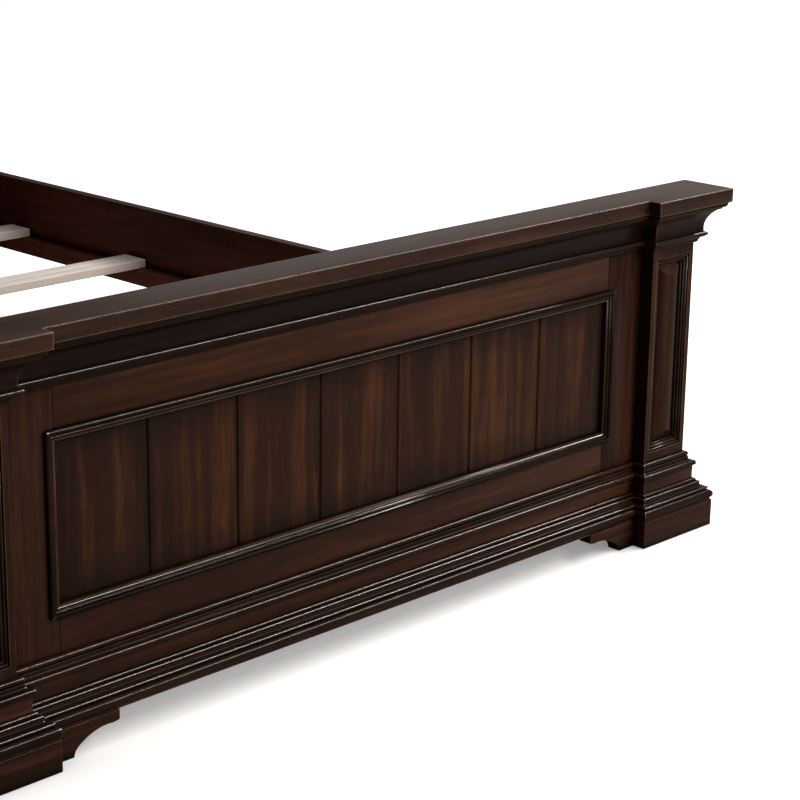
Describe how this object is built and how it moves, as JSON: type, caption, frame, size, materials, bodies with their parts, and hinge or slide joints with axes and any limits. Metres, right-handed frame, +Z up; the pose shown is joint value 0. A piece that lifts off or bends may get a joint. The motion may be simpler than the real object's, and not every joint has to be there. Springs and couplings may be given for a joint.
{
  "type": "panel bed",
  "caption": "Panel bed with a low footboard and taller headboard in dark stained wood, framed plank panels, moulded posts, side rails and slats.",
  "frame": {"origin": "on the floor under the middle of the bed's bounding box", "axes": "+X to the right seen from the foot of the bed, +Y from the footboard to the headboard, +Z up"},
  "size_m": [1.714, 2.275, 1.42],
  "materials": {
    "espresso_wood": "dark espresso stain under satin lacquer, near black in the recesses",
    "plank_wood": "dark reddish brown stain with vertical grain, shaded towards the edges",
    "slat_wood": "planed, unfinished pale wood",
    "leg_wood": "planed, unfinished pale wood",
    "plated_steel": "zinc plated"
  },
  "bodies": {
    "root": {"bracket_foot_left": "espresso_wood", "bracket_foot_right": "espresso_wood", "cross_rail_bolts": "plated_steel", "foot_block_left": "espresso_wood", "foot_block_right": "espresso_wood", "footboard_apron": "espresso_wood", "footboard_base_moulding_centre": "espresso_wood", "footboard_base_moulding_left": "espresso_wood", "footboard_base_moulding_right": "espresso_wood", "footboard_bottom_rail": "espresso_wood", "footboard_cap": "espresso_wood", "footboard_cornice_centre": "espresso_wood", "footboard_cornice_left": "espresso_wood", "footboard_cornice_right": "espresso_wood", "footboard_panel_moulding": "espresso_wood", "footboard_plank_1": "plank_wood", "footboard_plank_2": "plank_wood", "footboard_plank_3": "plank_wood", "footboard_plank_4": "plank_wood", "footboard_plank_5": "plank_wood", "footboard_plank_6": "plank_wood", "footboard_plank_7": "plank_wood", "footboard_plinth_left": "espresso_wood", "footboard_plinth_right": "espresso_wood", "footboard_post_left": "espresso_wood", "footboard_post_mouldings": "espresso_wood", "footboard_post_right": "espresso_wood", "footboard_split_columns": "espresso_wood", "footboard_stile_left": "espresso_wood", "footboard_stile_right": "espresso_wood", "footboard_surbase_centre": "espresso_wood", "footboard_surbase_left": "espresso_wood", "footboard_surbase_right": "espresso_wood", "footboard_top_rail": "espresso_wood", "head_cross_rail": "espresso_wood", "headboard_bottom_rail": "espresso_wood", "headboard_cap": "espresso_wood", "headboard_cornice_centre": "espresso_wood", "headboard_cornice_returns": "espresso_wood", "headboard_panel_moulding": "espresso_wood", "headboard_planks": "plank_wood", "headboard_post_left": "espresso_wood", "headboard_post_mouldings": "espresso_wood", "headboard_post_right": "espresso_wood", "headboard_split_columns": "espresso_wood", "headboard_stile_left": "espresso_wood", "headboard_stile_right": "espresso_wood", "headboard_top_rail": "espresso_wood", "post_slot_plates": "plated_steel", "rail_hook_plates": "plated_steel", "side_rail_left": "espresso_wood", "side_rail_right": "espresso_wood", "slat_1": "slat_wood", "slat_2": "slat_wood", "slat_3": "slat_wood", "slat_4": "slat_wood", "slat_5": "slat_wood", "slat_centre_legs": "leg_wood", "slat_cleat_left": "espresso_wood", "slat_cleat_right": "espresso_wood"}
  },
  "joints": []
}
